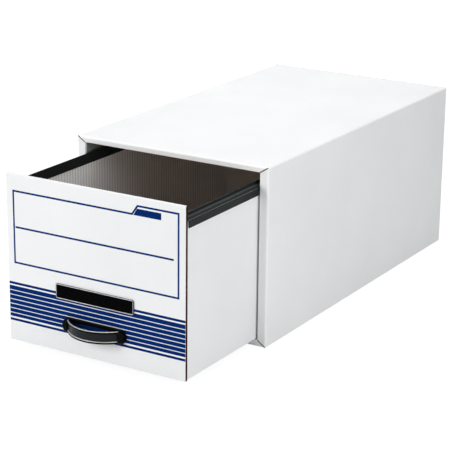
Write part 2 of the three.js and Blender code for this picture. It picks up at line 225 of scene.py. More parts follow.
def board_paint(name, base, flute_axis, pitch=FLUTE_PITCH, worn=0.0, washboard=0.0):
    """Coated board: faint mottling, paper fibres, the flutes' washboard with a faint painted shade
    along the flutes and, where worn, kraft.

    The washboard and its painted shade are faint, or stronger on a single ply by the share
    washboard.
    """
    paint = Paint(name, specular=0.3)
    # A darker tone, for the board's mottling and for a faint painted shade along the flutes
    shade = tint(base, lift=-BOARD_MOTTLE_AND_FLUTE_SHADE)
    cloudy = paint.spread(paint.noise(9, detail=4), 0.3, 0.75)
    tone = paint.mix(cloudy, srgb(*base), shade)
    fibre = paint.noise(900, detail=2, roughness=0.6, stretch=(1, 1, 0.25))
    specks = paint.spread(fibre, 0.66, 0.8, to_high=0.5)
    tone = paint.mix(specks, tone, tint(base, lift=-SPECK_SHADE))
    wave = ripple(paint, flute_axis, pitch)
    # A faint painted shade in stripes along the flute wave
    tone = paint.mix(paint.times(wave, 0.25), tone, shade)
    if washboard:
        # On a single ply, a stronger painted shade along the flute wave
        painted_trough_shade = paint.times(paint.maths("POWER", wave, 2.0), washboard)
        tone = paint.mix(painted_trough_shade, tone, tint(base, lift=-PAINTED_TROUGH_SHADE))
    if worn:
        cracks = paint.spread(paint.noise(420, detail=5, roughness=0.7), 0.52, 0.62)
        areas = paint.noise(28, roughness=0.6, place=(0.3, 0.7, 0.1))
        rubbed = paint.times(cracks, paint.spread(areas, 0.5, 0.62, to_high=worn))
        tone = paint.mix(rubbed, tone, srgb(*WORN_KRAFT))
    paint.colour(tone)
    paint.roughness(paint.even(paint.noise(60, detail=4), 0.52, 0.68))
    paint.bump(wave, WASHBOARD_DEPTH + PLY_DEPTH * washboard, strength=0.7)
    paint.bump(paint.noise(11, detail=2), 0.6 * MM, strength=0.2)
    paint.bump(fibre, 0.02 * MM, strength=0.8)
    return paint.material


def kraft_paint(name, base, flute_axis):
    """Bare brown paper: long fibres, specks, the flutes' washboard and a faint painted shade along
    the flutes.
    """
    paint = Paint(name, specular=0.25)
    dark, light = tint(base, 0.8), tint(base, 1.12)
    fibre = paint.noise(700, detail=4, roughness=0.65, stretch=(1, 0.2, 1))
    tone = paint.mix(paint.even(fibre), light, dark)
    cloudy = paint.spread(paint.noise(14, detail=4), 0.35, 0.7, to_high=0.45)
    tone = paint.mix(cloudy, tone, dark)
    wave = ripple(paint, flute_axis, FLUTE_PITCH)
    # A faint painted shade in stripes along the flutes
    paint.colour(paint.mix(paint.times(wave, 0.2), tone, dark))
    paint.roughness(0.82)
    paint.bump(wave, 0.08 * MM, strength=0.8)
    paint.bump(fibre, 0.06 * MM, strength=0.8)
    return paint.material


def raw_edge_paint(name, base):
    """A cut edge of board: torn brown fibres."""
    paint = Paint(name, specular=0.2)
    fibre = paint.noise(1500, detail=4, roughness=0.7)
    paint.colour(paint.mix(paint.even(fibre), srgb(*base), tint(base, 0.55)))
    paint.roughness(0.9)
    paint.bump(fibre, 0.15 * MM, strength=0.9)
    return paint.material


def ink_paint(name, base):
    """Printing ink on board: fine white misses and a faint streak over each flute."""
    paint = Paint(name, specular=0.02)
    light = tint(base, 1 - STREAK_FADE, 255 * STREAK_FADE)
    streaks = paint.spread(ripple(paint, "X", FRONT_PITCH), 0.2, 1.0, to_high=0.35)
    tone = paint.mix(streaks, srgb(*base), light)
    grain = paint.noise(1100, roughness=0.7)
    areas = paint.spread(paint.noise(50), 0.45, 0.65, to_high=0.35)
    misses = paint.times(paint.spread(grain, 0.68, 0.76), areas)
    paint.colour(paint.mix(misses, tone, srgb(*BARE_BOARD)))
    paint.roughness(paint.even(grain, 0.42, 0.58))
    paint.bump(grain, 0.01 * MM, strength=0.8)
    return paint.material


def steel_paint(name, base, worn, specular):
    """Enamel on steel sheet: orange peel, slight smears and rubbed spots."""
    paint = Paint(name, specular)
    streaky = paint.noise(22, detail=4, roughness=0.6, stretch=(1, 0.15, 1))
    smears = paint.spread(streaky, 0.4, 0.75, to_high=0.55)
    tone = paint.mix(smears, srgb(*base), tint(base, 1.25, 4))
    areas = paint.spread(paint.noise(30), 0.5, 0.62, to_high=worn)
    chips = paint.times(paint.spread(paint.noise(520, detail=4), 0.64, 0.7), areas)
    paint.colour(paint.mix(chips, tone, srgb(*BARE_STEEL)))
    paint.roughness(paint.even(paint.noise(70, detail=4), 0.3, 0.46))
    paint.bump(paint.noise(650, detail=2), 0.03 * MM, strength=0.7)
    return paint.material


def plastic_paint(name, base, smooth, rough, specular=0.2):
    """Moulded plastic: a fine sparked grain, handling marks and slight gloss changes."""
    paint = Paint(name, specular)
    marks = paint.spread(paint.noise(45, detail=5, roughness=0.7), 0.5, 0.8, to_high=0.6)
    paint.colour(paint.mix(marks, srgb(*base), tint(base, 1.15, 3)))
    paint.roughness(paint.even(paint.noise(120, detail=4), smooth, rough))
    paint.bump(paint.noise(2080, detail=2), 0.01 * MM, strength=0.5)
    return paint.material


def bright_paint(name, base, roughness, metallic=1.0):
    """Bare or plated metal with fine brushing; where it is less metallic, a silver-grey painted
    highlight, as on the handle's beads.
    """
    paint = Paint(name, specular=0.5, metallic=metallic)
    brushing = paint.noise(900, roughness=0.6)
    paint.colour(paint.mix(paint.even(brushing), srgb(*base), tint(base, 0.8)))
    paint.roughness(paint.even(brushing, roughness - 0.08, roughness + 0.1))
    paint.bump(brushing, 0.01 * MM, strength=0.6)
    return paint.material


paints = {
    "shell_white": board_paint("shell_board_white", WHITE, "Y"),
    # Folds of the shell and tray: a painted highlight, with real wear to kraft
    "shell_fold_highlight_and_wear": board_paint("shell_board_fold_highlight_and_wear", FOLD_HIGHLIGHT_WHITE, "Y", worn=0.12),
    "tray_white": board_paint("tray_board_white", WHITE, "Y"),
    "tray_fold_highlight_and_wear": board_paint("tray_board_fold_highlight_and_wear", FOLD_HIGHLIGHT_WHITE, "Y", worn=0.12),
    # The tray's inner ply: a strong painted shade along its flutes
    "tray_inside": board_paint("tray_inner_ply", WHITE, "Y", washboard=0.55),
    "front_white": board_paint("front_board_white", WHITE, "X", FRONT_PITCH),
    "kraft": kraft_paint("board_inside_kraft", KRAFT, "Y"),
    "raw": raw_edge_paint("board_raw_edge", (112, 72, 50)),
    # The front board's cut edges and flutes: brown darkened well below the other cut edges, a
    # painted shade
    "front_edge": raw_edge_paint("front_board_raw_edge_painted_shade", (74, 26, 14)),
    "mitre": raw_edge_paint("hem_mitre_edge", (138, 108, 90)),
    "ink_dark": ink_paint("stripe_ink", (0, 38, 102)),
    "ink_line": ink_paint("outline_ink", (0, 44, 108)),
    "plate": steel_paint("plate_enamel", (146, 150, 150), 0.2, 0.2),
    "rail": steel_paint("rail_enamel", (29, 33, 33), 0.3, 0.05),
    # The upward faces of each rail's cap and step: painted highlights, lighter than the rail's
    # enamel
    "rail_cap": steel_paint("rail_cap_painted_highlight", (60, 65, 65), 0.3, 0.05),
    "rail_step": steel_paint("rail_step_painted_highlight", (150, 155, 155), 0.3, 0.1),
    "handle": plastic_paint("handle_plastic", (6, 7, 8), 0.24, 0.34, 0.035),
    # The strap's web: a painted sheen, grey over the black plastic of the rest of the handle
    "grip": plastic_paint("handle_web_painted_sheen", (32, 35, 38), 0.3, 0.4, 0.08),
    # The upper halves of the strap's beads: a painted highlight in silver-grey
    "bead": bright_paint("handle_bead_painted_highlight", (214, 213, 208), 0.34, metallic=0.5),
    "plaque": plastic_paint("plaque_plastic", (3, 3, 4), 0.2, 0.3, 0.015),
    "rim": bright_paint("plaque_rim_silver", (170, 171, 172), 0.3),
    "retainer": plastic_paint("retainer_plastic", (26, 27, 28), 0.45, 0.6),
    "clip": bright_paint("clip_steel", (150, 152, 154), 0.34),
}


def add_piece(name, mesh, body, replaced=()):
    """A new object for a mesh, which rides on a body and hides the CAD parts that it replaces."""
    piece = bpy.data.objects.new(name, mesh)
    bpy.context.scene.collection.objects.link(piece)
    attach(piece, body)
    if replaced:
        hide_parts(*replaced)
    return piece


def make_mesh(name, skin, materials, indices=None, smooth=False):
    """A mesh from a skin, its points and faces, with the faces turned outwards."""
    points, faces = skin
    mesh = bpy.data.meshes.new(name)
    mesh.from_pydata([tuple(point) for point in points], [], faces)
    for material in materials:
        mesh.materials.append(material)
    if indices:
        mesh.polygons.foreach_set("material_index", indices)
    mesh.polygons.foreach_set("use_smooth", [smooth] * len(mesh.polygons))
    work = bmesh.new()
    work.from_mesh(mesh)
    bmesh.ops.recalc_face_normals(work, faces=work.faces)
    work.to_mesh(mesh)
    work.free()
    return mesh


SOFT_STEPS = 2
SHARP_ANGLE = math.radians(35)
AREA_WEIGHT = 60


def soften(piece, width):
    """Rounds a piece's sharp edges and keeps its flat faces flat."""
    bevel = piece.modifiers.new("soft_edges", "BEVEL")
    bevel.width = width
    bevel.segments = SOFT_STEPS
    bevel.limit_method = "ANGLE"
    bevel.angle_limit = SHARP_ANGLE
    bevel.use_clamp_overlap = True
    even_out(piece)


def even_out(piece):
    """Normals weighted by face area, so that flat faces beside round ones stay flat."""
    even = piece.modifiers.new("even_normals", "WEIGHTED_NORMAL")
    even.mode = "FACE_AREA_WITH_ANGLE"
    even.weight = AREA_WEIGHT


WELD = 0.002 * MM
FLAT_ANGLE = math.radians(0.5)


def dress(node, body, materials, edge, pick=None, part_at=None):
    """A piece with a CAD node's own shape, painted face by face and with softened edges.

    Its flat faces are made whole, and parted at the height part_at, so that their finish can
    change there. The function pick gives each face's finish from its middle and its normal.
    """
    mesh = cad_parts[node].data.copy()
    mesh.name = node + "_finish"
    mesh.materials.clear()
    for material in materials:
        mesh.materials.append(material)
    work = bmesh.new()
    work.from_mesh(mesh)
    bmesh.ops.remove_doubles(work, verts=work.verts, dist=WELD)
    bmesh.ops.dissolve_limit(work, angle_limit=FLAT_ANGLE, verts=work.verts, edges=work.edges)
    if part_at:
        everything = work.verts[:] + work.edges[:] + work.faces[:]
        place, normal = (0, 0, part_at), (0, 0, 1)
        bmesh.ops.bisect_plane(work, geom=everything, plane_co=place, plane_no=normal)
    for face in work.faces:
        face.smooth = True
        face.material_index = pick(face.calc_center_median(), face.normal) if pick else 0
    work.to_mesh(mesh)
    work.free()
    soften(add_piece(node + "_finish", mesh, body, [node]), edge)


CORNER_STEPS = 6


def rounded(corners, steps=CORNER_STEPS):
    """Points round a closed outline of corners (a, b, radius), each rounded by an arc."""
    spots = [Vector((a, b)) for a, b, _ in corners]
    points = []
    for i, (_, _, radius) in enumerate(corners):
        here = spots[i]
        if not radius:
            points.append(here)
            continue
        back = (spots[i - 1] - here).normalized()
        on = (spots[(i + 1) % len(spots)] - here).normalized()
        half = back.angle(on) / 2
        centre = here + (back + on).normalized() * (radius / math.sin(half))
        start = here + back * (radius / math.tan(half)) - centre
        end = here + on * (radius / math.tan(half)) - centre
        first = math.atan2(start.y, start.x)
        turn = math.atan2(end.y, end.x) - first
        turn = math.atan2(math.sin(turn), math.cos(turn))
        for step in range(steps + 1):
            angle = first + turn * step / steps
            points.append(centre + radius * Vector((math.cos(angle), math.sin(angle))))
    return points


def box_outline(a0, a1, b0, b1, radius=0.0, steps=CORNER_STEPS):
    return rounded([(a0, b0, radius), (a1, b0, radius), (a1, b1, radius), (a0, b1, radius)], steps)


def slab(loops, y0, y1):
    """The skin of a flat piece between two places along y.

    Its outlines are in (x, z). The first is the outer one, and the rest are holes.
    """
    points = [point for loop in loops for point in loop]
    count = len(points)
    triangles = tessellate_polygon([[point.to_3d() for point in loop] for loop in loops])
    places = [Vector((point.x, y, point.y)) for y in (y0, y1) for point in points]
    faces = [tuple(corners) for corners in triangles]
    faces += [tuple(i + count for i in reversed(corners)) for corners in triangles]
    first = 0
    for loop in loops:
        size = len(loop)
        for i in range(size):
            a, b = first + i, first + (i + 1) % size
            faces.append((a, b, b + count, a + count))
        first += size
    return places, faces


def loft(rings, capped=True):
    """The skin over rings that have the same number of points, closed at both ends if capped."""
    size = len(rings[0])
    points = [point for ring in rings for point in ring]
    faces = []
    for row in range(len(rings) - 1):
        for i in range(size):
            a = row * size + i
            b = row * size + (i + 1) % size
            faces.append((a, b, b + size, a + size))
    if capped:
        last = (len(rings) - 1) * size
        faces.append(tuple(reversed(range(size))))
        faces.append(tuple(range(last, last + size)))
    return points, faces


def joined(skins):
    """Several skins as one."""
    points, faces = [], []
    for skin_points, skin_faces in skins:
        start = len(points)
        points += skin_points
        faces += [tuple(i + start for i in face) for face in skin_faces]
    return points, faces


# Indices of the finishes of folded board; the fold's finish is whiter, a painted highlight
WHITE_FACE, FOLD_FACE, KRAFT_FACE, RAW_FACE, INNER_FACE = range(5)

# How far a face looks one way: all but squarely, squarely enough, mostly, in part or barely
FLAT = 0.99
SQUARE = 0.9
MOSTLY = 0.5
SLOPING = 0.3
BARELY = 0.05

# How near a face's middle is to where it is looked for
CLOSE = 0.1 * MM
NEAR = 0.2 * MM
AROUND = 0.6 * MM


def squareness(normal):
    return max(abs(normal.x), abs(normal.y), abs(normal.z))


def shell_finish(spot, normal):
    """Which finish a face of the shell has: white side, fold (whiter, a painted highlight), kraft
    side or cut edge.
    """
    depth = spot.y - shell_low.y
    back = shell_high.y - spot.y
    side = shell_high.x - abs(spot.x)
    top = shell_high.z - spot.z
    outwards = normal.x * math.copysign(1, spot.x)
    mitred = abs(normal.x) > SLOPING and abs(normal.z) > SLOPING
    if mitred and depth < SHELL_BOARD and min(side, top, spot.z) > SHELL_FOLD:
        return RAW_FACE
    skins = (
        (side, outwards),
        (top, normal.z),
        (spot.z, -normal.z),
        (depth, -normal.y),
        (back, normal.y),
    )
    for distance, facing in skins:
        if distance < SHELL_FOLD + CLOSE and facing > BARELY:
            return WHITE_FACE if squareness(normal) > FLAT else FOLD_FACE
    in_back = back < SHELL_BOARD + CLOSE
    if in_back and abs(spot.x) < BACK_SEAM and abs(normal.x) > SQUARE:
        return RAW_FACE
    if in_back and top < SHELL_FOLD and normal.y < -SQUARE:
        return WHITE_FACE
    hems = (
        (side, SIDE_HEM, -outwards),
        (top, TOP_HEM, -normal.z),
        (spot.z, BOTTOM_HEM, normal.z),
    )
    for distance, hem, facing in hems:
        if abs(distance - hem) < AROUND and facing > MOSTLY:
            return WHITE_FACE
    if normal.y > SQUARE and min(abs(depth - SIDE_RETURN), abs(depth - TOP_RETURN)) < NEAR:
        return RAW_FACE
    return KRAFT_FACE


def tray_finish(spot, normal):
    """Which finish a face of the tray has: white side, fold (whiter, a painted highlight), kraft
    side, cut edge or inner ply.
    """
    side = tray_high.x - abs(spot.x)
    outwards = normal.x * math.copysign(1, spot.x)
    depth = spot.y - tray_low.y
    back = tray_high.y - spot.y
    under = spot.z - tray_low.z
    if squareness(normal) < FLAT:
        return FOLD_FACE
    if side < NEAR:
        return WHITE_FACE
    if abs(side - TRAY_WALL) < NEAR and outwards < -SQUARE:
        return INNER_FACE
    if min(back, under, depth) < NEAR or (abs(back - TRAY_WALL) < NEAR and normal.y < -SQUARE):
        return WHITE_FACE
    in_end = depth < TRAY_BOARD or back < TRAY_WALL
    if in_end and normal.z > SQUARE and spot.z > rail_top - WALL_TOP_ZONE:
        return RAW_FACE
    return KRAFT_FACE


def build_board_bodies():
    shell_set = [paints[name] for name in ("shell_white", "shell_fold_highlight_and_wear", "kraft", "raw")]
    tray_names = ("tray_white", "tray_fold_highlight_and_wear", "kraft", "raw", "tray_inside")
    tray_set = [paints[name] for name in tray_names]
    groove = shell_high.z - SHELL_FOLD
    dress("shell_sleeve", "shell", shell_set, BOARD_EDGE, shell_finish, groove)
    dress("drawer_tray", "drawer", tray_set, BOARD_EDGE, tray_finish)


# Indices of the finishes of a rail
RAIL_SIDE, RAIL_CAP, RAIL_STEP = range(3)


def rail_finish(spot, normal):
    """Which finish a face of a rail has: the upward faces of its cap and of the step below carry
    painted highlights.
    """
    below = rail_top - spot.z
    if normal.z < SQUARE or below < RAIL_BLADE / 2:
        return RAIL_SIDE
    return RAIL_CAP if below < RAIL_BLADE + MM else RAIL_STEP


def build_steel():
    plate_set, clip_set = [paints["plate"]], [paints["clip"]]
    rail_set = [paints[name] for name in ("rail", "rail_cap", "rail_step")]
    for side in ("left", "right"):
        dress(side + "_steel_plate", "shell", plate_set, STEEL_EDGE)
        rail = side + "_hanging_rail"
        dress(rail, "drawer", rail_set, STEEL_EDGE, rail_finish)
        dress(side + "_post_clip", "drawer", clip_set, CLIP_EDGE)
    retainer_set = [paints["retainer"]]
    dress("handle_retainer", "drawer", retainer_set, RETAINER_EDGE)


def flute_ribbon(x0, x1, z0, z1, y0, y1):
    """The fluted sheet between two liners, with its waves along x and its crests along z."""
    middle = (y0 + y1) / 2
    swing = (y1 - y0 - FLUTE_SHEET) / 2
    steps = round((x1 - x0) / FRONT_PITCH * FLUTE_STEPS)
    rings = []
    for z in (z0, z1):
        near, far = [], []
        for step in range(steps + 1):
            x = x0 + (x1 - x0) * step / steps
            y = middle + swing * math.cos(2 * math.pi * (x - x0) / FRONT_PITCH)
            near.append(Vector((x, y - FLUTE_SHEET / 2, z)))
            far.append(Vector((x, y + FLUTE_SHEET / 2, z)))
        rings.append(near + far[::-1])
    points, faces = loft(rings, capped=False)
    size = len(rings[0])
    for ring in range(2):
        for step in range(steps):
            a = ring * size + step
            c = ring * size + size - 1 - step
            faces.append((a, a + 1, c - 1, c))
    return points, faces


def fold_section(inset):
    """The front board's section in (y, z), drawn in by an inset.

    It runs up the board's back, over the folded top and down the face.
    """
    low, high = front_low.y + inset, front_high.y - inset
    top = front_high.z - inset
    radius = FRONT_FOLD - inset
    corners = [
        (high, front_low.z, 0),
        (high, top, radius),
        (low, top, radius),
        (low, front_low.z, 0),
    ]
    return rounded(corners, FOLD_STEPS)


def build_front_liner():
    """The front board's outer liner, folded over the top edge: white faces with raw edges."""
    outer, inner = fold_section(0), fold_section(LINER)
    size = len(outer)
    ends = (front_low.x, front_high.x)
    points = [Vector((x, place.x, place.y)) for x in ends for place in outer + inner]
    white, raw = 0, 1
    faces, finish = [], []
    for i in range(size - 1):
        for start, kind in ((0, white), (size, raw)):
            a, b = start + i, start + i + 1
            faces.append((a, b, b + 2 * size, a + 2 * size))
            finish.append(kind)
        for end in (0, 2 * size):
            faces.append((end + i, end + i + 1, end + size + i + 1, end + size + i))
            finish.append(raw)
    for i in (0, size - 1):
        faces.append((i, i + size, i + 3 * size, i + 2 * size))
        finish.append(raw)
    liner_set = [paints["front_white"], paints["front_edge"]]
    liner = make_mesh("front_liner", (points, faces), liner_set, finish, smooth=True)
    soften(add_piece("front_liner", liner, "drawer", ["drawer_front"]), LINER_EDGE)


def build_front_flutes():
    """Behind the front board's cut side edges, two fluted sheets on a middle liner."""
    x0, x1 = front_low.x + FLUTE_INSET, front_high.x - FLUTE_INSET
    z0, z1 = front_low.z + FLUTE_INSET, front_high.z - LINER
    flutes_top = z1 - FRONT_FOLD / 2
    middle = (front_low.y + front_high.y) / 2
    near_side, far_side = middle - LINER / 2, middle + LINER / 2
    near = flute_ribbon(x0, x1, z0, flutes_top, front_low.y + LINER, near_side)
    far = flute_ribbon(x0, x1, z0, flutes_top, far_side, front_high.y - LINER)
    backing = slab([box_outline(front_low.x, front_high.x, front_low.z, z1)], near_side, far_side)
    flutes = make_mesh("front_flutes", joined([near, far, backing]), [paints["front_edge"]])
    add_piece("front_flutes", flutes, "drawer")


# Print on the front board, in millimetres: x across from the middle, z up from the floor
LABEL_HALF = 150.1
LABEL_BOTTOM = 138.4
LABEL_TOP = 255.6
TAB_TOP = 269.2
TAB_START = 67.7
TAB_SHOULDER = 77.2
LABEL_LINE = 3
WRITING_LINE = 197
WRITING_START = -146
WRITING_END = 140.4
BLOCK_TOP = 263.6
BLOCK_BOTTOM = 253
BLOCK_END = 119
BLOCK_START = 70.5
BLOCK_SHOULDER = 77.2
BAND_TOP = 101.5
BAND_BOTTOM = 51.05
BAND_GAP = 1.2
BAND_FIRST_GAP = 94.0
BAND_PITCH = 7.38
BAND_GAPS = 6
EDGE_LINE = 4
EDGE_LINE_TOP = 105.9
EDGE_LINE_BOTTOM = 46.25
STRIPE_HALF = 160.7


def inset_outline(points, distance):
    """An outline moved inwards by a distance, for points that run anticlockwise."""
    moved = []
    for i, here in enumerate(points):
        back = (here - points[i - 1]).normalized()
        on = (points[(i + 1) % len(points)] - here).normalized()
        first = Vector((-back.y, back.x))
        second = Vector((-on.y, on.x))
        moved.append(here + (first + second) * (distance / (1 + first.dot(second))))
    return moved


def print_shape(name, outlines, material):
    """Ink of the given outlines on the front board's face. Each outline may have a hole."""
    face = front_low.y
    skins = []
    for loops in outlines:
        metres = [[point * MM for point in loop] for loop in loops]
        skins.append(slab(metres, face - INK, face + INK))
    mesh = make_mesh(name, joined(skins), [material])
    add_piece(name, mesh, "drawer")


def span(middle, width):
    """Where a line of some width starts and ends, about its middle."""
    return middle - width / 2, middle + width / 2


def build_label():
    """A ruled outline with a tab, a writing line across it and a solid block in the tab."""
    corners = [
        (-LABEL_HALF, LABEL_BOTTOM),
        (LABEL_HALF, LABEL_BOTTOM),
        (LABEL_HALF, TAB_TOP),
        (TAB_SHOULDER, TAB_TOP),
        (TAB_START, LABEL_TOP),
        (-LABEL_HALF, LABEL_TOP),
    ]
    outer = [Vector(corner) for corner in corners]
    ring = [outer, inset_outline(outer, LABEL_LINE)]
    writing = [box_outline(WRITING_START, WRITING_END, *span(WRITING_LINE, LABEL_LINE))]
    print_shape("label_outline", [ring, writing], paints["ink_line"])
    corners = [
        (BLOCK_START, BLOCK_BOTTOM),
        (BLOCK_END, BLOCK_BOTTOM),
        (BLOCK_END, BLOCK_TOP),
        (BLOCK_SHOULDER, BLOCK_TOP),
    ]
    print_shape("label_block", [[[Vector(corner) for corner in corners]]], paints["ink_dark"])


def build_stripes():
    """A broad band with gaps in it, between two lines."""
    bars = []
    top = BAND_TOP
    for gap in range(BAND_GAPS):
        gap_low, gap_high = span(BAND_FIRST_GAP - gap * BAND_PITCH, BAND_GAP)
        bars.append((gap_high, top))
        top = gap_low
    bars += [(BAND_BOTTOM, top), span(EDGE_LINE_TOP, EDGE_LINE), span(EDGE_LINE_BOTTOM, EDGE_LINE)]
    stripes = [[box_outline(-STRIPE_HALF, STRIPE_HALF, low, high)] for low, high in bars]
    print_shape("stripes", stripes, paints["ink_dark"])


# Name plate. Its profiles are places in millimetres, in from its edge and behind its crest.
PLAQUE_CORNER = 3 * MM
LEAST_CORNER = 0.2 * MM
PLATE_STEPS = 8
PLATE_THICKNESS = (plaque_high.y - plaque_low.y) / MM
PLATE_PROFILE = [
    (0.25, PLATE_THICKNESS),
    (0, PLATE_THICKNESS - 0.2),
    (0, 0.6),
    (0.1, 0.35),
    (0.35, 0.25),
    (1.7, 0.3),
    (2.1, 0.55),
    (3, 0.5),
    (6, 0.4),
    (9, 0.34),
    (11.5, 0.32),
]
RIM_PROFILE = [
    (0.4, 0.5),
    (0.42, 0.2),
    (0.6, 0.04),
    (1.0, 0),
    (1.4, 0.04),
    (1.58, 0.2),
    (1.6, 0.5),
]


def plate_ring(half_width, half_height, radius, inset, y, z, steps):
    """A ring round a rounded plate that is centred at (0, z), drawn in by an inset, at y."""
    a, b = half_width - inset, half_height - inset
    loop = box_outline(-a, a, -b, b, max(radius - inset, LEAST_CORNER), steps)
    return [Vector((point.x, y, z + point.y)) for point in loop]


def plaque_rings(profile):
    """Rings round the name plate, one for each place of a profile."""
    middle_z = (plaque_low.z + plaque_high.z) / 2
    half_height = (plaque_high.z - plaque_low.z) / 2
    rings = []
    for inset, depth in profile:
        y = plaque_low.y + depth * MM
        size = (plaque_high.x, half_height, PLAQUE_CORNER)
        rings.append(plate_ring(*size, inset * MM, y, middle_z, PLATE_STEPS))
    return rings


def build_plaque():
    """A blank plate with a bright bead just inside its edge and a slightly crowned field."""
    skin = loft(plaque_rings(PLATE_PROFILE))
    plate = make_mesh("plaque_plate", skin, [paints["plaque"]], smooth=True)
    add_piece("plaque_plate", plate, "drawer", ["front_plaque"])
    rings = plaque_rings(RIM_PROFILE)
    skin = loft(rings + [rings[0]], capped=False)
    bead = make_mesh("plaque_bead", skin, [paints["rim"]], smooth=True)
    add_piece("plaque_bead", bead, "drawer")


# Bow handle: the strap, bowed round an arc, with its ends at STRAP_END in front of the board
BOW_RADIUS = 59 * MM
BOW = 28 * MM
BOW_STEPS = 72
STRAP_GAUGE = 3 * MM
STRAP_HALF = 10 * MM
STRAP_END = 0.9 * MM
BEAD = 4 * MM
BEAD_RISE = 1.4 * MM
WEB_DROP = 0.5 * MM
BEAD_STEPS = 10
# Where each bead's painted highlight starts, as an angle up from the bead's middle
PAINTED_HIGHLIGHT_FROM = math.radians(26)

# Its base, a plate with a window in it. The profiles are places in millimetres, in from the
# edge or out over the window, and above the back.
HANDLE_HALF = 57.6 * MM
HANDLE_SEAT = 0.3 * MM
HANDLE_WINDOW = 42 * MM
HANDLE_BAR = 6.6 * MM
HANDLE_STEPS = 12
BASE_CORNER_TRIM = 0.3 * MM
WINDOW_CORNER = 3 * MM
BASE_PROFILE = [(0.4, 0.0), (0.0, 0.4), (0.0, 1.9), (0.25, 2.5), (0.8, 2.9), (1.5, 3.0)]
WINDOW_PROFILE = [(1.2, 3.0), (0.5, 2.85), (0.1, 2.4), (0.0, 1.8), (0.0, 0.0)]

# The hoods over the strap's ends, with corners as shares of their width, and the posts behind
HOOD_START = 43.5 * MM
HOOD_HALF = 11.2 * MM
HOOD_STEPS = 8
HOOD_INNER_CORNER = 0.24
HOOD_OUTER_CORNER = 0.7
HOOD_PROFILE = [(0.9, 2.6), (0.9, 4.6), (1.2, 6.0), (1.9, 7.2), (3.0, 8.1), (4.4, 8.6)]
POST_SPACING = 49 * MM
POST_RADIUS = 1.6 * MM
POST_ROOT = 1 * MM
POST_TIP = 0.5 * MM
POST_SIDES = 24

# Indices of the finishes along the strap's section: plain black, the beads' painted highlight and
# the web's painted sheen
PLAIN_STRIP, PAINTED_HIGHLIGHT_STRIP, PAINTED_SHEEN_STRIP = range(3)


def strap_profile():
    """The strap's section, as places (out, up) from its web's face.

    Each place comes with the finish of the strip that follows it.
    """
    back = -STRAP_GAUGE + WEB_DROP
    profile = [(back, STRAP_HALF, PLAIN_STRIP), (back, -STRAP_HALF, PLAIN_STRIP)]
    rise = BEAD_RISE + WEB_DROP
    for middle, web_next in ((-STRAP_HALF + BEAD / 2, True), (STRAP_HALF - BEAD / 2, False)):
        for step in range(BEAD_STEPS + 1):
            angle = math.pi * (step / BEAD_STEPS - 0.5)
            finish = PAINTED_HIGHLIGHT_STRIP if PAINTED_HIGHLIGHT_FROM <= angle < math.pi / 2 else PLAIN_STRIP
            if step == BEAD_STEPS and web_next:
                # The web between the beads takes the painted sheen
                finish = PAINTED_SHEEN_STRIP
            out, up = rise * math.cos(angle), middle + BEAD / 2 * math.sin(angle)
            profile.append((out, up, finish))
    return profile


def build_strap(middle_z):
    """The bowed strap: a web with a round bead along each edge, swept round an arc. The web's grey
    is a painted sheen, and the beads' upper halves carry a painted highlight.
    """
    profile = strap_profile()
    centre = BOW_RADIUS - BOW
    sweep = math.acos((centre + STRAP_END) / BOW_RADIUS)
    rings = []
    for step in range(BOW_STEPS + 1):
        angle = sweep * (2 * step / BOW_STEPS - 1)
        ring = []
        for out, up, _ in profile:
            radius = BOW_RADIUS - WEB_DROP + out
            y = front_low.y + centre - radius * math.cos(angle)
            ring.append(Vector((radius * math.sin(angle), y, middle_z + up)))
        rings.append(ring)
    finish = [strip for _ in range(BOW_STEPS) for _, _, strip in profile]
    finish += [PLAIN_STRIP, PLAIN_STRIP]
    strap_set = [paints[name] for name in ("handle", "bead", "grip")]
    mesh = make_mesh("bow_strap", loft(rings), strap_set, finish, smooth=True)
    even_out(add_piece("bow_strap", mesh, "drawer"))


def frame_skin(middle_z):
    """The handle's base: a rounded plate with a window, its edges eased."""
    half_height = (handle_high.z - handle_low.z) / 2
    back = front_low.y - HANDLE_SEAT
    outer = (HANDLE_HALF, half_height, half_height - BASE_CORNER_TRIM)
    window = (HANDLE_WINDOW, half_height - HANDLE_BAR, WINDOW_CORNER)
    rings = []
    for size, profile, sign in ((outer, BASE_PROFILE, 1), (window, WINDOW_PROFILE, -1)):
        for inset, rise in profile:
            y = back - rise * MM
            rings.append(plate_ring(*size, sign * inset * MM, y, middle_z, HANDLE_STEPS))
    points, faces = loft(rings, capped=False)
    count = len(rings[0])
    last = (len(rings) - 1) * count
    for i in range(count):
        j = (i + 1) % count
        faces.append((last + i, last + j, j, i))
    return points, faces


def hood_skin(side, middle_z):
    """A rounded hood over an end of the strap."""
    rings = []
    for inset, rise in HOOD_PROFILE:
        inner, outer = HOOD_START + inset * MM, HANDLE_HALF - inset * MM
        half = HOOD_HALF - inset * MM
        inner_corner = HOOD_INNER_CORNER * (outer - inner)
        outer_corner = HOOD_OUTER_CORNER * (outer - inner)
        corners = [
            (inner, -half, inner_corner),
            (outer, -half, outer_corner),
            (outer, half, outer_corner),
            (inner, half, inner_corner),
        ]
        y = front_low.y - HANDLE_SEAT - rise * MM
        loop = rounded(corners, HOOD_STEPS)
        rings.append([Vector((side * point.x, y, middle_z + point.y)) for point in loop])
    return loft(rings)


def post_skin(side, middle_z):
    """A post that holds the handle, from inside its base to its eased tip."""
    start, end = front_low.y - HANDLE_SEAT - POST_ROOT, handle_high.y
    stations = (
        (POST_RADIUS, start),
        (POST_RADIUS, end - POST_TIP),
        (POST_RADIUS - POST_TIP, end),
    )
    rings = []
    for radius, y in stations:
        ring = []
        for step in range(POST_SIDES):
            angle = 2 * math.pi * step / POST_SIDES
            x = side * POST_SPACING + radius * math.cos(angle)
            ring.append(Vector((x, y, middle_z + radius * math.sin(angle))))
        rings.append(ring)
    return loft(rings)


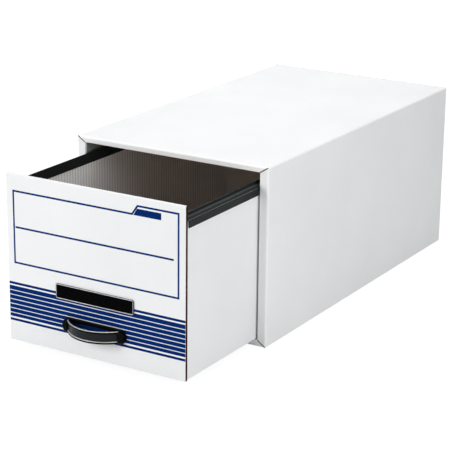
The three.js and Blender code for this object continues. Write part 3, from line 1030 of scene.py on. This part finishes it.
def build_handle():
    middle_z = (handle_low.z + handle_high.z) / 2
    skins = [frame_skin(middle_z)]
    for side in (-1, 1):
        skins += [hood_skin(side, middle_z), post_skin(side, middle_z)]
    mesh = make_mesh("handle_base", joined(skins), [paints["handle"]], smooth=True)
    even_out(add_piece("handle_base", mesh, "drawer", ["pull_handle"]))
    build_strap(middle_z)


# Cut edges along the hem's mitred corners
MITRE_SEAM = 0.15 * MM
MITRE_PROUD = 0.06 * MM
MITRE_SUNK = 0.7 * MM


def mitre_strip(side, outer_z, mouth_z):
    """The two cut edges of board that show along a corner of the hem, with a seam between."""
    outer = Vector((side * shell_high.x, outer_z))
    inner = Vector((side * (shell_high.x - SIDE_HEM), mouth_z))
    along = (inner - outer).normalized()
    across = Vector((-along.y, along.x))
    length = (inner - outer).length
    seam, proud, sunk = MITRE_SEAM, MITRE_PROUD, MITRE_SUNK
    closed = -proud / 2
    # Distance from the outer corner, half the strip's width and the depth of its seam
    stations = (
        (1.3 * MM, 0.4 * MM, closed),
        (2.2 * MM, 0.8 * MM, closed),
        (SHELL_FOLD + 0.6 * MM, 0.95 * MM, closed),
        (SHELL_FOLD + MM, 0.95 * MM, sunk),
        (length - 1.4 * MM, 0.95 * MM, sunk),
        (length - 0.2 * MM, 0.45 * MM, sunk),
    )
    rings = []
    for distance, half, seam_depth in stations:
        section = (
            (half, -proud / 3),
            (seam, -proud),
            (seam / 2, seam_depth),
            (-seam / 2, seam_depth),
            (-seam, -proud),
            (-half, -proud / 3),
            (-half, sunk),
            (0, 2 * sunk),
            (half, sunk),
        )
        ring = []
        for shift, depth in section:
            place = outer + along * distance + across * shift
            ring.append(Vector((place.x, shell_low.y + depth, place.y)))
        rings.append(ring)
    return loft(rings)


def build_mitres():
    skins = []
    for side in (-1, 1):
        skins.append(mitre_strip(side, shell_high.z, shell_high.z - TOP_HEM))
        skins.append(mitre_strip(side, 0, BOTTOM_HEM))
    mesh = make_mesh("hem_mitres", joined(skins), [paints["mitre"]])
    add_piece("hem_mitres", mesh, "shell")


def build_camera():
    data = bpy.data.cameras.new("camera")
    data.lens = CAMERA_LENS
    data.sensor_width = CAMERA_SENSOR
    data.clip_end = CAMERA_REACH
    camera = bpy.data.objects.new("camera", data)
    bpy.context.scene.collection.objects.link(camera)
    camera.location = CAMERA_SPOT
    back = Vector((
        math.sin(CAMERA_AZIMUTH) * math.cos(CAMERA_ELEVATION),
        -math.cos(CAMERA_AZIMUTH) * math.cos(CAMERA_ELEVATION),
        math.sin(CAMERA_ELEVATION),
    ))
    facing = (-back).to_track_quat("-Z", "Y") @ Quaternion((0, 0, 1), CAMERA_ROLL)
    camera.rotation_euler = facing.to_euler()
    bpy.context.scene.camera = camera


# Lamps, each with its name, its place, its side in metres and its power in watts
LAMP_TARGET = Vector((0, -0.1, 0.15))
LAMPS = [
    ("key", (-1.6, -2.8, 1.2), 1.4, 54),
    ("side", (1.7, -0.78, 0.75), 1.0, 12),
    ("top", (0, 0.1, 3.2), 2.2, 49),
    ("back_fill", (-1.8, 2.9, 1.5), 1.6, 18),
]


def build_lights():
    for name, place, size, power in LAMPS:
        data = bpy.data.lights.new(name, "AREA")
        data.shape = "RECTANGLE"
        data.size = data.size_y = size
        data.energy = power
        light = bpy.data.objects.new(name, data)
        bpy.context.scene.collection.objects.link(light)
        light.location = place
        light.rotation_euler = (LAMP_TARGET - Vector(place)).to_track_quat("-Z", "Y").to_euler()


def grey(level):
    return (level, level, level, 1)


def seen_directly(tree):
    """1 where the camera, gloss or glass looks, and 0 for the light on matt surfaces."""
    path = tree.nodes.new("ShaderNodeLightPath")
    seen = path.outputs["Is Camera Ray"]
    for other in ("Is Glossy Ray", "Is Transmission Ray"):
        either = tree.nodes.new("ShaderNodeMath")
        either.operation = "MAXIMUM"
        tree.links.new(seen, either.inputs[0])
        tree.links.new(path.outputs[other], either.inputs[1])
        seen = either.outputs[0]
    return seen


def finish_tree(tree, unseen, seen, output):
    """Sends a tree's output one shader for the light on matt surfaces and another where seen."""
    pick = tree.nodes.new("ShaderNodeMixShader")
    for socket, source in zip(pick.inputs, (seen_directly(tree), unseen, seen)):
        tree.links.new(source, socket)
    out = tree.nodes.new(output)
    tree.links.new(pick.outputs[0], out.inputs[0])


# World: its even light on matt surfaces, and its white where it is seen directly
WORLD_LIGHT = 0.28
WORLD_SEEN = 1.0


def build_world():
    """Even light from all round, and plain white where it is seen directly."""
    world = bpy.data.worlds.new("studio")
    bpy.context.scene.world = world
    world.use_nodes = True
    tree = world.node_tree
    tree.nodes.clear()
    backgrounds = []
    for strength in (WORLD_LIGHT, WORLD_SEEN):
        plain = tree.nodes.new("ShaderNodeBackground")
        plain.inputs["Color"].default_value = grey(1)
        plain.inputs["Strength"].default_value = strength
        backgrounds.append(plain.outputs[0])
    finish_tree(tree, *backgrounds, "ShaderNodeOutputWorld")


# Floor: its colour for the light that it sends back, and its colour and glow where it is seen
FLOOR_HALF = 14
FLOOR_DROP = 0.3 * MM
FLOOR_PALE = 0.75
FLOOR_SHADE = 0.2
FLOOR_GLOW = 0.9


def diffuse(tree, level):
    matt = tree.nodes.new("ShaderNodeBsdfDiffuse")
    matt.inputs["Color"].default_value = grey(level)
    return matt.outputs[0]


def floor_paint():
    material = bpy.data.materials.new("floor_white")
    material.use_nodes = True
    tree = material.node_tree
    tree.nodes.clear()
    glow = tree.nodes.new("ShaderNodeEmission")
    glow.inputs["Strength"].default_value = FLOOR_GLOW
    add = tree.nodes.new("ShaderNodeAddShader")
    tree.links.new(diffuse(tree, FLOOR_SHADE), add.inputs[0])
    tree.links.new(glow.outputs[0], add.inputs[1])
    finish_tree(tree, diffuse(tree, FLOOR_PALE), add.outputs[0], "ShaderNodeOutputMaterial")
    return material


def build_floor():
    """A pale floor that is white where it is seen directly and keeps the object's shadow."""
    mesh = bpy.data.meshes.new("floor")
    a = FLOOR_HALF
    mesh.from_pydata([(-a, -a, 0), (a, -a, 0), (a, a, 0), (-a, a, 0)], [], [(0, 1, 2, 3)])
    mesh.materials.append(floor_paint())
    floor = bpy.data.objects.new("floor", mesh)
    bpy.context.scene.collection.objects.link(floor)
    floor.location.z = -FLOOR_DROP


bpy.context.scene.view_settings.view_transform = "Standard"
build_camera()
build_world()
build_lights()
build_floor()
build_board_bodies()
build_steel()
build_front_liner()
build_front_flutes()
build_label()
build_stripes()
build_plaque()
build_handle()
build_mitres()
